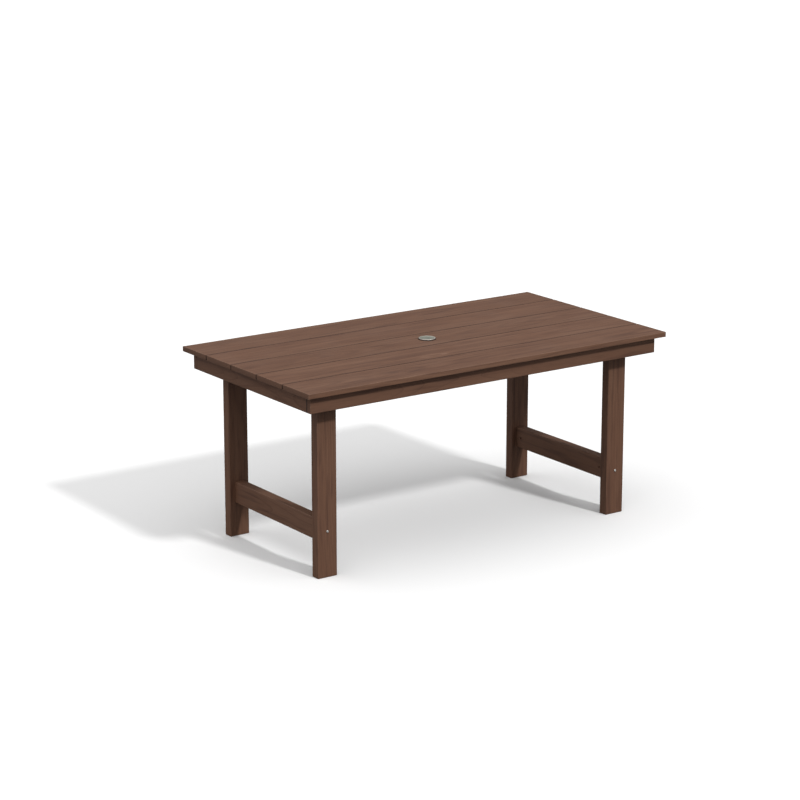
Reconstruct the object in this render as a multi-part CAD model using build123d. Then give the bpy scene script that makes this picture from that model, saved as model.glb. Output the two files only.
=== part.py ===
from build123d import *

import os

# Slatted outdoor dining table in plastic lumber, with an umbrella hole.
# Millimetres. X runs along the table, Y across it (the front is -Y), Z is up.
# The origin is on the floor, under the middle of the top.

# --- table top -------------------------------------------------------------
TABLE_HEIGHT = 740.0        # floor to the top face of the boards
TABLE_LENGTH = 1655.0       # boards, end to end
TABLE_WIDTH = 877.0         # over the outer boards
BOARD_COUNT = 5
BOARD_GAP = 5.5             # open joint between two boards
BOARD_THICKNESS = 20.0

# --- aprons under the top --------------------------------------------------
APRON_THICKNESS = 22.0
APRON_HEIGHT = 65.0
SIDE_OVERHANG = 33.5        # board edge to the outer face of a long apron
END_OVERHANG = 27.5         # board end to the outer face of an end apron

# --- cross rails under the boards, between the long aprons -----------------
RAIL_THICKNESS = 20.0
RAIL_HEIGHT = 60.0
POLE_SPACE = 84.0           # clear way for the pole between the two middle rails

# --- legs and end stretchers -----------------------------------------------
LEG_WIDTH = 84.0            # along X
LEG_THICKNESS = 40.0        # along Y
LEG_END_INSET = 106.5       # board end to the leg
LEG_SIDE_INSET = 112.5      # board edge to the leg's outer face
STRETCHER_THICKNESS = 40.0
STRETCHER_HEIGHT = 84.0
STRETCHER_CENTRE_Z = 177.0

# --- edge rounding of the extruded lumber ----------------------------------
EDGE_ROUND = 3.0

# --- leg bolts: two through each leg and the rails on both sides of it ------
BOLT_D = 8.0
BOLT_HOLE_D = 8.6
LEG_BOLT_SPACING = 30.0
BOLT_HEAD_AF = 13.0         # across the flats of the hexagon
BOLT_HEAD_H = 5.3
BOLT_TAIL = 3.0             # thread that shows past the nut
WASHER_D = 20.0
WASHER_T = 1.6
NUT_H = 6.5

# --- stretcher bolts: one button head through each leg, into a cross dowel --
STRETCHER_BOLT_D = 6.0
STRETCHER_BOLT_HOLE_D = 6.6
BUTTON_HEAD_D = 10.5
BUTTON_HEAD_H = 3.3
BUTTON_SOCKET_AF = 4.0
BUTTON_SOCKET_DEPTH = 2.1
DOWEL_D = 10.0
DOWEL_LENGTH = 20.0
DOWEL_SETBACK = 32.0        # stretcher's end to the dowel's axis
DOWEL_CLEARANCE = 0.1
THREAD_PLAY = 0.1           # round a bolt in its nut or cross dowel

# --- board screws, driven up from counterbores in the rails and aprons ------
SCREW_D = 4.8
SCREW_PLAY = 0.1            # round the shank, in its hole and in its pilot
SCREW_HEAD_D = 9.0
SCREW_HEAD_H = 3.2
SCREW_SEAT_DEPTH = 25.0     # underside of the boards down to the head's seat
SCREW_BITE = 13.0           # length of shank up in the board
COUNTERBORE_D = 10.5
LONG_APRON_SCREWS = 6       # along each long apron

# --- umbrella hole ----------------------------------------------------------
POLE_HOLE_D = 50.0          # the hole a pole slides in
RING_WALL = 3.5             # sleeve wall round the pole hole
RING_FLANGE_D = 68.0
RING_FLANGE_T = 2.0
RING_BELOW = 10.0           # sleeve below the underside of the boards
RING_CLEARANCE = 0.3        # sleeve in the board, and the cap's skirt in its seat
SEAT_WIDTH = 1.5            # ledge in the sleeve under the cap's skirt
SEAT_DEPTH = 12.0           # ledge below the flange's top face
CAP_D = 66.0
CAP_T = 3.2
CAP_ROUND = 1.0
SKIRT_WALL = 2.4
SKIRT_DEPTH = 10.0

# --- places that follow from the sizes --------------------------------------
BOARD_UNDER = TABLE_HEIGHT - BOARD_THICKNESS
BOARD_WIDTH = (TABLE_WIDTH - (BOARD_COUNT - 1) * BOARD_GAP) / BOARD_COUNT
BOARD_PITCH = BOARD_WIDTH + BOARD_GAP
BOARD_YS = [(i - (BOARD_COUNT - 1) / 2) * BOARD_PITCH for i in range(BOARD_COUNT)]

APRON_X = TABLE_LENGTH / 2 - END_OVERHANG       # outer face of an end apron
APRON_Y = TABLE_WIDTH / 2 - SIDE_OVERHANG       # outer face of a long apron
INNER_SPAN = 2 * (APRON_Y - APRON_THICKNESS)    # clear width between long aprons

LEG_X = TABLE_LENGTH / 2 - LEG_END_INSET - LEG_WIDTH / 2        # leg centre
LEG_Y = TABLE_WIDTH / 2 - LEG_SIDE_INSET - LEG_THICKNESS / 2    # leg centre
RAIL_OFFSET = (LEG_WIDTH + RAIL_THICKNESS) / 2                  # leg centre to rail centre
MIDDLE_RAIL_X = (POLE_SPACE + RAIL_THICKNESS) / 2
RAIL_XS = {
    "rail_left_outer": -LEG_X - RAIL_OFFSET,
    "rail_left_inner": -LEG_X + RAIL_OFFSET,
    "rail_middle_left": -MIDDLE_RAIL_X,
    "rail_middle_right": MIDDLE_RAIL_X,
    "rail_right_inner": LEG_X - RAIL_OFFSET,
    "rail_right_outer": LEG_X + RAIL_OFFSET,
}
LEG_BOLT_ZS = [
    BOARD_UNDER - RAIL_HEIGHT / 2 + side * LEG_BOLT_SPACING / 2 for side in (-1, 1)
]
STRETCHER_END_Y = LEG_Y - LEG_THICKNESS / 2
DOWEL_Y = STRETCHER_END_Y - DOWEL_SETBACK


def save(part, name):
    """Writes one sub-part, a solid or a list of separate solids, to its STEP file."""
    shape = Compound(children=part) if isinstance(part, list) else part
    shape.label = name
    export_step(shape, f"parts/{name}.step")


def rod(diameter, start, direction, length):
    """A round bar of a length, from a start point along a direction."""
    plane = Plane(origin=start, z_dir=direction)
    return plane * Cylinder(diameter / 2, length, align=(Align.CENTER, Align.CENTER, Align.MIN))


def hexagon(across_flats, start, direction, length):
    """A hexagonal bar of a length, from a start point along a direction."""
    sketch = RegularPolygon(across_flats / 2, 6, major_radius=False)
    return extrude(Plane(origin=start, z_dir=direction) * sketch, length)


def lumber(size, centre):
    """A straight piece of lumber with every edge rounded."""
    radius = min(EDGE_ROUND, 0.2 * min(size))
    block = Box(*size)
    return Pos(*centre) * fillet(block.edges(), radius)


def screw_points(name):
    """The (x, y) places of the board screws in one rail or apron."""
    if name in RAIL_XS:
        return [(RAIL_XS[name], y) for y in BOARD_YS]
    if name in ("apron_left", "apron_right"):
        x = (APRON_X - APRON_THICKNESS / 2) * (-1 if name == "apron_left" else 1)
        return [(x, y) for y in BOARD_YS]
    y = (APRON_Y - APRON_THICKNESS / 2) * (-1 if name == "apron_front" else 1)
    step = 2 * (APRON_X - APRON_THICKNESS) / LONG_APRON_SCREWS
    return [((i - (LONG_APRON_SCREWS - 1) / 2) * step, y) for i in range(LONG_APRON_SCREWS)]


def drill_for_screws(part, name, height):
    """Screw holes with counterbores, up through a rail or apron of a height."""
    seat = BOARD_UNDER - SCREW_SEAT_DEPTH
    bottom = BOARD_UNDER - height
    for x, y in screw_points(name):
        part -= rod(COUNTERBORE_D, (x, y, bottom - 1), (0, 0, 1), seat - bottom + 1)
        part -= rod(SCREW_D + 2 * SCREW_PLAY, (x, y, seat - 1), (0, 0, 1), SCREW_SEAT_DEPTH + 2)
    return part


def board(index):
    """One top board, with its blind pilot holes and, in the middle one, the pole hole."""
    y = BOARD_YS[index]
    size = (TABLE_LENGTH, BOARD_WIDTH, BOARD_THICKNESS)
    part = lumber(size, (0, y, TABLE_HEIGHT - BOARD_THICKNESS / 2))
    pilot = SCREW_D + 2 * SCREW_PLAY
    for name in SCREWED:
        for px, py in screw_points(name):
            if abs(py - y) < BOARD_WIDTH / 2:
                part -= rod(pilot, (px, py, BOARD_UNDER - 1), (0, 0, 1), SCREW_BITE + 2)
    if index == BOARD_COUNT // 2:
        hole = RING_OUTER_D + 2 * RING_CLEARANCE
        part -= rod(hole, (0, 0, BOARD_UNDER - 1), (0, 0, 1), BOARD_THICKNESS + 2)
    return part


def long_apron(name):
    """A full-length apron along the front or the back."""
    y = (APRON_Y - APRON_THICKNESS / 2) * (-1 if name == "apron_front" else 1)
    part = lumber((2 * APRON_X, APRON_THICKNESS, APRON_HEIGHT), (0, y, BOARD_UNDER - APRON_HEIGHT / 2))
    return drill_for_screws(part, name, APRON_HEIGHT)


def end_apron(name):
    """An apron across one end, butted between the two long aprons."""
    x = (APRON_X - APRON_THICKNESS / 2) * (-1 if name == "apron_left" else 1)
    part = lumber((APRON_THICKNESS, INNER_SPAN, APRON_HEIGHT), (x, 0, BOARD_UNDER - APRON_HEIGHT / 2))
    return drill_for_screws(part, name, APRON_HEIGHT)


def cross_rail(name):
    """A rail on edge under the boards; those beside the legs take the leg bolts."""
    x = RAIL_XS[name]
    part = lumber((RAIL_THICKNESS, INNER_SPAN, RAIL_HEIGHT), (x, 0, BOARD_UNDER - RAIL_HEIGHT / 2))
    if "middle" not in name:
        for y in (-LEG_Y, LEG_Y):
            for z in LEG_BOLT_ZS:
                start = (x - RAIL_THICKNESS, y, z)
                part -= rod(BOLT_HOLE_D, start, (1, 0, 0), 2 * RAIL_THICKNESS)
    return drill_for_screws(part, name, RAIL_HEIGHT)


def leg(side_x, side_y):
    """A leg from the floor to the boards, drilled for its rail and stretcher bolts."""
    x, y = side_x * LEG_X, side_y * LEG_Y
    part = lumber((LEG_WIDTH, LEG_THICKNESS, BOARD_UNDER), (x, y, BOARD_UNDER / 2))
    for z in LEG_BOLT_ZS:
        part -= rod(BOLT_HOLE_D, (x - LEG_WIDTH, y, z), (1, 0, 0), 2 * LEG_WIDTH)
    start = (x, y - LEG_THICKNESS, STRETCHER_CENTRE_Z)
    return part - rod(STRETCHER_BOLT_HOLE_D, start, (0, 1, 0), 2 * LEG_THICKNESS)


def stretcher(side_x):
    """A stretcher between the two legs of one end, drilled for bolts and cross dowels."""
    x = side_x * LEG_X
    size = (STRETCHER_THICKNESS, 2 * STRETCHER_END_Y, STRETCHER_HEIGHT)
    part = lumber(size, (x, 0, STRETCHER_CENTRE_Z))
    depth = (STRETCHER_THICKNESS + DOWEL_LENGTH) / 2
    for side_y in (-1, 1):
        end = (x, side_y * (STRETCHER_END_Y + 1), STRETCHER_CENTRE_Z)
        part -= rod(STRETCHER_BOLT_HOLE_D, end, (0, -side_y, 0), 1 + DOWEL_SETBACK + 2 * DOWEL_D)
        mouth = (side_x * (LEG_X - STRETCHER_THICKNESS / 2 - 1), side_y * DOWEL_Y, STRETCHER_CENTRE_Z)
        part -= rod(DOWEL_D + 2 * DOWEL_CLEARANCE, mouth, (side_x, 0, 0), 1 + depth)
    return part


def washer(start, direction):
    """A flat washer for a bolt, from its first face along a direction."""
    hole = rod(BOLT_HOLE_D, start, direction, WASHER_T)
    return rod(WASHER_D, start, direction, WASHER_T) - hole


def along(point, direction, distance):
    """The point a distance further along a unit direction."""
    return tuple(p + distance * d for p, d in zip(point, direction))


def leg_bolt_places():
    """Each leg bolt's outer rail face and the direction that it runs in."""
    reach = LEG_WIDTH / 2 + RAIL_THICKNESS
    return [
        ((side_x * (LEG_X + reach), side_y * LEG_Y, z), (-side_x, 0, 0))
        for side_x in (-1, 1) for side_y in (-1, 1) for z in LEG_BOLT_ZS
    ]


def leg_bolt(face, direction):
    """A hexagon-head bolt through two rails and a leg."""
    seat = along(face, direction, -WASHER_T)
    stack = LEG_WIDTH + 2 * RAIL_THICKNESS + 2 * WASHER_T
    shank = rod(BOLT_D, seat, direction, stack + NUT_H + BOLT_TAIL)
    head = hexagon(BOLT_HEAD_AF, along(seat, direction, -BOLT_HEAD_H), direction, BOLT_HEAD_H)
    return head + shank


def leg_washers(face, direction):
    """The two washers of one leg bolt."""
    far = along(face, direction, LEG_WIDTH + 2 * RAIL_THICKNESS)
    return [washer(along(face, direction, -WASHER_T), direction), washer(far, direction)]


def leg_nut(face, direction):
    """The nut of one leg bolt, a close fit on its thread."""
    seat = along(face, direction, LEG_WIDTH + 2 * RAIL_THICKNESS + WASHER_T)
    body = hexagon(BOLT_HEAD_AF, seat, direction, NUT_H)
    return body - rod(BOLT_D + 2 * THREAD_PLAY, along(seat, direction, -1), direction, NUT_H + 2)


def stretcher_bolt(side_x, side_y):
    """A button-head bolt through a leg into the cross dowel."""
    inward = (0, -side_y, 0)
    face = (side_x * LEG_X, side_y * (LEG_Y + LEG_THICKNESS / 2), STRETCHER_CENTRE_Z)
    length = LEG_THICKNESS + DOWEL_SETBACK + DOWEL_D
    top = along(face, inward, -BUTTON_HEAD_H)
    head = rod(BUTTON_HEAD_D, top, inward, BUTTON_HEAD_H)
    rim = head.edges().filter_by(GeomType.CIRCLE).sort_by(Axis.Y)[-1 if side_y > 0 else 0]
    head = fillet(rim, 0.7 * BUTTON_HEAD_H)
    head -= hexagon(BUTTON_SOCKET_AF, along(top, inward, -1), inward, BUTTON_SOCKET_DEPTH + 1)
    return head + rod(STRETCHER_BOLT_D, face, inward, length)


def cross_dowel(side_x, side_y):
    """A steel cross dowel lying in the stretcher, with its cross hole on the bolt."""
    centre = (side_x * LEG_X, side_y * DOWEL_Y, STRETCHER_CENTRE_Z)
    start = (centre[0] - DOWEL_LENGTH / 2, centre[1], centre[2])
    body = rod(DOWEL_D, start, (1, 0, 0), DOWEL_LENGTH)
    hole = (centre[0], centre[1] - DOWEL_D, centre[2])
    return body - rod(STRETCHER_BOLT_D + 2 * THREAD_PLAY, hole, (0, 1, 0), 2 * DOWEL_D)


def board_screw(x, y):
    """A pan-head screw from its seat in a counterbore up into a board."""
    seat = BOARD_UNDER - SCREW_SEAT_DEPTH
    head = rod(SCREW_HEAD_D, (x, y, seat - SCREW_HEAD_H), (0, 0, 1), SCREW_HEAD_H)
    return head + rod(SCREW_D, (x, y, seat), (0, 0, 1), SCREW_SEAT_DEPTH + SCREW_BITE)


def umbrella_ring():
    """The flanged sleeve in the middle board, with a ledge under the cap's skirt."""
    top = TABLE_HEIGHT + RING_FLANGE_T
    low = BOARD_UNDER - RING_BELOW
    ring = rod(RING_OUTER_D, (0, 0, low), (0, 0, 1), top - low)
    ring += rod(RING_FLANGE_D, (0, 0, TABLE_HEIGHT), (0, 0, 1), RING_FLANGE_T)
    ring -= rod(POLE_HOLE_D, (0, 0, low - 1), (0, 0, 1), top - low + 2)
    seat_d = POLE_HOLE_D + 2 * SEAT_WIDTH
    return ring - rod(seat_d, (0, 0, top - SEAT_DEPTH), (0, 0, 1), SEAT_DEPTH + 1)


def umbrella_cap():
    """The lift-out cap: a round cover over a plain skirt."""
    low = TABLE_HEIGHT + RING_FLANGE_T
    cover = rod(CAP_D, (0, 0, low), (0, 0, 1), CAP_T)
    rim = cover.edges().filter_by(GeomType.CIRCLE).sort_by(Axis.Z)[-1]
    cover = fillet(rim, min(CAP_ROUND, 0.4 * CAP_T))
    skirt_d = POLE_HOLE_D + 2 * SEAT_WIDTH - 2 * RING_CLEARANCE
    skirt = rod(skirt_d, (0, 0, low - SKIRT_DEPTH), (0, 0, 1), SKIRT_DEPTH)
    inside = rod(skirt_d - 2 * SKIRT_WALL, (0, 0, low - SKIRT_DEPTH - 1), (0, 0, 1), SKIRT_DEPTH + 1)
    return cover + (skirt - inside)


RING_OUTER_D = POLE_HOLE_D + 2 * RING_WALL
SCREWED = ["apron_front", "apron_back", "apron_left", "apron_right", *RAIL_XS]
LEGS = {
    "leg_front_left": (-1, -1),
    "leg_front_right": (1, -1),
    "leg_back_left": (-1, 1),
    "leg_back_right": (1, 1),
}


def main():
    """Builds every sub-part and writes it to the parts folder."""
    os.makedirs("parts", exist_ok=True)
    for index in range(BOARD_COUNT):
        save(board(index), f"board_{index + 1}")
    for name in ("apron_front", "apron_back"):
        save(long_apron(name), name)
    for name in ("apron_left", "apron_right"):
        save(end_apron(name), name)
    for name in RAIL_XS:
        save(cross_rail(name), name)
    for name, sides in LEGS.items():
        save(leg(*sides), name)
    save(stretcher(-1), "stretcher_left")
    save(stretcher(1), "stretcher_right")

    places = leg_bolt_places()
    save([leg_bolt(*place) for place in places], "leg_bolts")
    save([ring for place in places for ring in leg_washers(*place)], "leg_washers")
    save([leg_nut(*place) for place in places], "leg_nuts")
    save([stretcher_bolt(*sides) for sides in LEGS.values()], "stretcher_bolts")
    save([cross_dowel(*sides) for sides in LEGS.values()], "cross_dowels")
    save([board_screw(x, y) for name in SCREWED for x, y in screw_points(name)], "board_screws")
    save(umbrella_ring(), "umbrella_ring")
    save(umbrella_cap(), "umbrella_cap")


main()
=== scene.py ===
"""Slatted outdoor dining table in plastic lumber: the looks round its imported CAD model.

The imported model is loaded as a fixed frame. The long, plainly seen lumber (top boards and legs),
the umbrella fitting and the stretcher bolts are built again as finer surfaces in numpy. The
aprons, rails, stretchers and hidden fasteners stay the CAD's own meshes with new finishes.
Metres throughout. X runs along the table, Y across it (the front is -Y), Z is up.
"""

import logging
import math
from dataclasses import dataclass, field
from enum import Enum
from typing import Dict, List, Optional, Sequence, Tuple, Union

import bpy
import numpy as np
from mathutils import Matrix, Vector


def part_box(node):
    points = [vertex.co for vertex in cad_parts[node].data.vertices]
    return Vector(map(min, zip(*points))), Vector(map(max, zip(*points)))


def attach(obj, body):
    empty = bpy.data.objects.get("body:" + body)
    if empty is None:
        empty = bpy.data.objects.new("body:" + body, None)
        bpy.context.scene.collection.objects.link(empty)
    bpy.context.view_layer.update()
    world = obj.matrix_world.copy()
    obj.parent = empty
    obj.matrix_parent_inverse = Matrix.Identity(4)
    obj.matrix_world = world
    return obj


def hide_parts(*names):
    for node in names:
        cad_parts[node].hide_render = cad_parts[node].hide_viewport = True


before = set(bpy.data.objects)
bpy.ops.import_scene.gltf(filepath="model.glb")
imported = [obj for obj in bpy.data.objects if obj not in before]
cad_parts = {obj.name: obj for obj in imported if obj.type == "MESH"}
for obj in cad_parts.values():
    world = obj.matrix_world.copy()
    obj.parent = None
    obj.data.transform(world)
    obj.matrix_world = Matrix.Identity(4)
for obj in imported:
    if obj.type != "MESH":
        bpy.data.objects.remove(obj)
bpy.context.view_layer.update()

Array = np.ndarray
Triple = Tuple[float, float, float]
Colour = Triple
Names = Tuple[str, ...]
Node, Socket, Material = bpy.types.Node, bpy.types.NodeSocket, bpy.types.Material
Sockets = Dict[str, Socket]
Value = Union[Socket, float, Sequence[float]]

MM = 0.001
HASH_PRIMES, SEED_PRIME, MIXING_PRIME = (73856093, 19349663, 83492791), 668265263, 1274126177
HASH_BITS = 0x7FFFFFFF
TABLE, CAP = "table", "cap"
log = logging.getLogger("dining_table")


# --- Shader graphs ---
@dataclass(frozen=True)
class Graph:
    """Adds and joins nodes in one node tree."""

    tree: bpy.types.NodeTree

    def node(self, kind: str, **settings: object) -> Node:
        """A new shader node of a kind, with some of its settings.

        Args:
            kind: the kind, without the prefix that all shader nodes have.
            settings: the node's own settings, by name.

        Returns:
            The new node.
        """
        made = self.tree.nodes.new(f"ShaderNode{kind}")
        for name, value in settings.items():
            setattr(made, name, value)
        return made

    def put(self, socket: Socket, value: Value) -> None:
        """Joins a socket to another one, or sets its own value.

        Args:
            socket: the input.
            value: an output to join it to, or its value.
        """
        if isinstance(value, Socket):
            self.tree.links.new(value, socket)
        else:
            socket.default_value = value

    def fill(self, made: Node, *values: Value) -> Node:
        """Gives a node's first inputs their values.

        Args:
            made: the node.
            values: values or sockets, in the order of its inputs.

        Returns:
            The same node.
        """
        for socket, value in zip(made.inputs, values):
            self.put(socket, value)
        return made

    def math(self, operation: str, *values: Value, clamp: bool = False) -> Socket:
        """One scalar operation on numbers or sockets."""
        made = self.node("Math", operation=operation, use_clamp=clamp)
        return self.fill(made, *values).outputs[0]

    def vector(self, operation: str, *values: Value) -> Socket:
        """One vector operation on vectors or sockets."""
        made = self.node("VectorMath", operation=operation)
        return self.fill(made, *values).outputs["Vector"]

    def times(self, first: Value, second: Value) -> Socket:
        """One number times another."""
        return self.math("MULTIPLY", first, second)

    def rest(self, share: Value) -> Socket:
        """What a share leaves of 1."""
        return self.math("SUBTRACT", 1.0, share)

    def positive(self, value: Value, sign: float = 1.0) -> Socket:
        """A number times 1 or -1 where that is above 0, and 0 elsewhere."""
        return self.math("MAXIMUM", self.times(value, sign) if sign < 0 else value, 0.0)

    def distance(self, x: Value, y: Value) -> Socket:
        """The length of a flat vector."""
        return self.math("SQRT", self.math("ADD", self.times(x, x), self.times(y, y)))

    def split(self, vector: Value) -> Tuple[Socket, Socket, Socket]:
        """The three parts of a vector."""
        return tuple(self.fill(self.node("SeparateXYZ"), vector).outputs)

    def join(self, x: Value, y: Value, z: Value) -> Socket:
        """A vector from its three parts."""
        return self.fill(self.node("CombineXYZ"), x, y, z).outputs[0]

    def noise(self, vector: Value, stretch: Sequence[float], detail: float = 2.0) -> Socket:
        """Noise round 0.5, with so many waves to the metre in each direction.

        Args:
            vector: where it is read.
            stretch: waves to the metre in each direction.
            detail: how many finer layers are added.

        Returns:
            A value round 0.5.
        """
        made = self.node("TexNoise")
        self.put(made.inputs["Vector"], self.vector("MULTIPLY", vector, stretch))
        self.put(made.inputs["Scale"], 1.0)
        self.put(made.inputs["Detail"], detail)
        return made.outputs["Fac"]

    def fade(self, value: Value, low: Value, high: Value) -> Socket:
        """0 below low and 1 above high, smooth between them."""
        made = self.node("MapRange", interpolation_type="SMOOTHSTEP")
        return self.fill(made, value, low, high).outputs[0]

    def blend(self, share: Value, first: Value, second: Value) -> Socket:
        """A colour between two, by a share from 0 to 1.

        Args:
            share: how much of the second.
            first: the colour at 0.
            second: the colour at 1.

        Returns:
            The blended colour.
        """
        made = self.node("Mix", data_type="RGBA")
        self.put(made.inputs[0], share)
        for socket, colour in ((made.inputs[6], first), (made.inputs[7], second)):
            self.put(socket, colour if isinstance(colour, Socket) else (*colour, 1.0))
        return made.outputs[2]

    def mix(self, share: Value, first: Socket, second: Socket) -> Socket:
        """A shader between two, by a share."""
        return self.fill(self.node("MixShader"), share, first, second).outputs[0]

    def sum(self, base: float, *terms: Tuple[float, Socket]) -> Socket:
        """A base number plus each term's weight times its socket.

        Args:
            base: the number it starts from.
            terms: pairs of a weight and a socket.

        Returns:
            The sum.
        """
        total: Value = base
        for weight, socket in terms:
            total = self.math("MULTIPLY_ADD", socket, weight, total)
        return total

    def effect(self, name: str, **given: Value) -> Node:
        """A shared effect placed in this graph, with its own values.

        Args:
            name: the group's name.
            given: its inputs' values, by name.

        Returns:
            The group's node.
        """
        made = self.node("Group", node_tree=bpy.data.node_groups[name])
        for key, value in given.items():
            self.put(made.inputs[key], value)
        return made


class Effects:
    """The shader node groups that several finishes share, each built once."""

    GRAIN, ARRIS, SAWN, DUST, SCUFFS = (
        "lumber_grain", "arris_wear_and_highlight", "sawn_end", "settled_dust", "fine_scuffs")
    SEED_SHIFT = (1.7, 0.37, 0.53)
    STREAK_WAVES, LINE_WAVES, FIBRE_WAVES = (1.5, 26, 26), (4.5, 66, 66), (11, 640, 640)
    PITH_WANDER, PITH_DRIFT, PITH_DEPTH = 0.09, 0.16, 0.025
    RING_SHARPNESS = 5.0
    CELLS_TO_METRE = 850.0
    SAW_SLANT, SAW_RADIANS = 0.35, 4200.0

    @staticmethod
    def begin(name: str, vectors: str, floats: str, outputs: str) -> Tuple[Graph, Sockets, Sockets]:
        """Starts a group, whose sockets' names are given as words.

        Args:
            name: the group's name.
            vectors: its vector inputs.
            floats: its number inputs.
            outputs: its outputs, all numbers.

        Returns:
            Its graph, its inputs and its outputs by name.
        """
        tree = bpy.data.node_groups.new(name, "ShaderNodeTree")
        for names, side, kind in ((vectors, "INPUT", "Vector"), (floats, "INPUT", "Float"),
                                  (outputs, "OUTPUT", "Float")):
            for key in names.split():
                tree.interface.new_socket(name=key, in_out=side, socket_type=f"NodeSocket{kind}")
        source, sink = tree.nodes.new("NodeGroupInput"), tree.nodes.new("NodeGroupOutput")
        return Graph(tree), source.outputs, sink.inputs

    @classmethod
    def grain(cls) -> None:
        """Embossed wood figure in plank coordinates (along, across, depth).

        Figure is the growth rings of a log that the plank is cut from: the distance from a
        wandering pith line below the face, divided by the ring pitch, where each whole number is
        a thin dark line, shown only in some stretches. Streak is broad drawn-out colour drift,
        Line is long thin lines and Fibre is fine short ones.
        """
        g, given, out = cls.begin(cls.GRAIN, "Place", "Seed Pitch", "Streak Figure Line Fibre")
        shift = g.vector("MULTIPLY", g.join(*[given["Seed"]] * 3), cls.SEED_SHIFT)
        place = g.vector("ADD", given["Place"], shift)
        g.put(out["Streak"], g.noise(place, cls.STREAK_WAVES, 4.0))
        g.put(out["Line"], g.fade(g.noise(place, cls.LINE_WAVES, 3.0), 0.52, 0.70))
        g.put(out["Fibre"], g.noise(place, cls.FIBRE_WAVES, 4.0))
        _, across, depth = g.split(given["Place"])
        wander = g.math("SUBTRACT", g.noise(place, (1.3, 4, 4), 2.0), 0.5)
        drift = g.noise(place, (1.0, 0, 0), 1.0)
        side = g.math("MULTIPLY_ADD", wander, cls.PITH_WANDER, across)
        pith = g.math("ADD", depth, -cls.PITH_DEPTH)
        reach = g.distance(side, g.math("MULTIPLY_ADD", drift, cls.PITH_DRIFT, pith))
        ring = g.math("FRACT", g.math("DIVIDE", reach, given["Pitch"]))
        shown = g.fade(g.noise(place, (0.8, 3, 3), 1.0), 0.42, 0.60)
        g.put(out["Figure"], g.times(g.math("POWER", ring, cls.RING_SHARPNESS), shown))

    @classmethod
    def arris(cls) -> None:
        """Worn edges of a box-shaped plank, where a painted highlight also lies.

        A point's distances to the three pairs of faces are found from its plank coordinates and
        half sizes. The second smallest is the distance to the nearest edge, and the mask fades
        out over Reach, broken up by noise.
        """
        g, given, out = cls.begin(cls.ARRIS, "Place Half", "Reach Seed", "RubAndHighlight")
        inside = g.vector("SUBTRACT", given["Half"], g.vector("ABSOLUTE", given["Place"]))
        dx, dy, dz = g.split(inside)
        larger = g.math("MINIMUM", g.math("MAXIMUM", dx, dy), dz)
        second = g.math("MAXIMUM", g.math("MINIMUM", dx, dy), larger)
        near = g.rest(g.fade(second, 0.0, given["Reach"]))
        shift = g.vector("ADD", given["Place"], g.join(given["Seed"], 0.0, 0.0))
        patches = g.fade(g.noise(shift, (16, 60, 60), 3.0), 0.36, 0.62)
        g.put(out["RubAndHighlight"], g.times(near, patches))

    @classmethod
    def sawn(cls) -> None:
        """Sawn plank ends: a mask at both ends, small foam cells and shallow saw lines on it."""
        g, given, out = cls.begin(cls.SAWN, "Place Half", "", "End Cells Lines")
        along, across, depth = g.split(given["Place"])
        half, _, _ = g.split(given["Half"])
        inside = g.math("SUBTRACT", half, g.math("ABSOLUTE", along))
        g.put(out["End"], g.rest(g.fade(inside, 0.0006, 0.0022)))
        cells = g.node("TexVoronoi")
        g.put(cells.inputs["Vector"], given["Place"])
        g.put(cells.inputs["Scale"], cls.CELLS_TO_METRE)
        g.put(out["Cells"], g.fade(cells.outputs["Distance"], 0.12, 0.45))
        slant = g.math("MULTIPLY_ADD", across, cls.SAW_SLANT, depth)
        g.put(out["Lines"], g.math("SINE", g.times(slant, cls.SAW_RADIANS)))

    @classmethod
    def dust(cls) -> None:
        """Thin uneven dust on faces that look up."""
        g, given, out = cls.begin(cls.DUST, "Place Facing", "", "Dust")
        up = g.fade(g.split(given["Facing"])[2], 0.3, 0.95)
        cloud = g.fade(g.noise(given["Place"], (7, 7, 7), 5.0), 0.38, 0.75)
        g.put(out["Dust"], g.times(up, cloud))

    @classmethod
    def scuffs(cls) -> None:
        """Fine handling marks: two sets of drawn-out noise, crossed, where only the crests show."""
        g, given, out = cls.begin(cls.SCUFFS, "Place", "", "Scuffs")
        first = g.fade(g.noise(given["Place"], (160, 2600, 700), 2.0), 0.6, 0.72)
        second = g.fade(g.noise(given["Place"], (2400, 210, 900), 2.0), 0.62, 0.75)
        g.put(out["Scuffs"], g.math("MAXIMUM", first, second))

    @classmethod
    def build(cls) -> None:
        """Builds every shared group."""
        for make in (cls.grain, cls.arris, cls.sawn, cls.dust, cls.scuffs):
            make()


def emptied(owner: Union[Material, bpy.types.World]) -> Graph:
    """The graph of a material or a world, with no nodes in it.

    Args:
        owner: the material or world.

    Returns:
        Its empty graph.
    """
    owner.use_nodes = True
    owner.node_tree.nodes.clear()
    return Graph(owner.node_tree)


def new_material(name: str) -> Tuple[Material, Graph, Node]:
    """A new material, its graph and its Principled shader, joined to the output.

    Args:
        name: the material's name.

    Returns:
        The material, its graph and its shader.
    """
    made = bpy.data.materials.new(name)
    g = emptied(made)
    shader = g.node("BsdfPrincipled")
    g.put(g.node("OutputMaterial").inputs["Surface"], shader.outputs[0])
    return made, g, shader


def surfaced(g: Graph, shader: Node, colour: Socket, roughness: Socket,
             height: Socket, depth: float, strength: float) -> None:
    """Feeds a shader its colour, roughness and a height from 0 to 1, so many metres deep.

    Args:
        g: the material's graph.
        shader: its Principled shader.
        colour: its base colour.
        roughness: its roughness.
        height: the relief, from 0 to 1.
        depth: how deep the relief is, in metres.
        strength: how strongly the relief tells.
    """
    made = g.node("Bump")
    made.inputs["Strength"].default_value = strength
    made.inputs["Distance"].default_value = depth
    g.put(made.inputs["Height"], height)
    for name, value in (("Base Color", colour), ("Roughness", roughness),
                        ("Normal", made.outputs[0])):
        g.put(shader.inputs[name], value)


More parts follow.
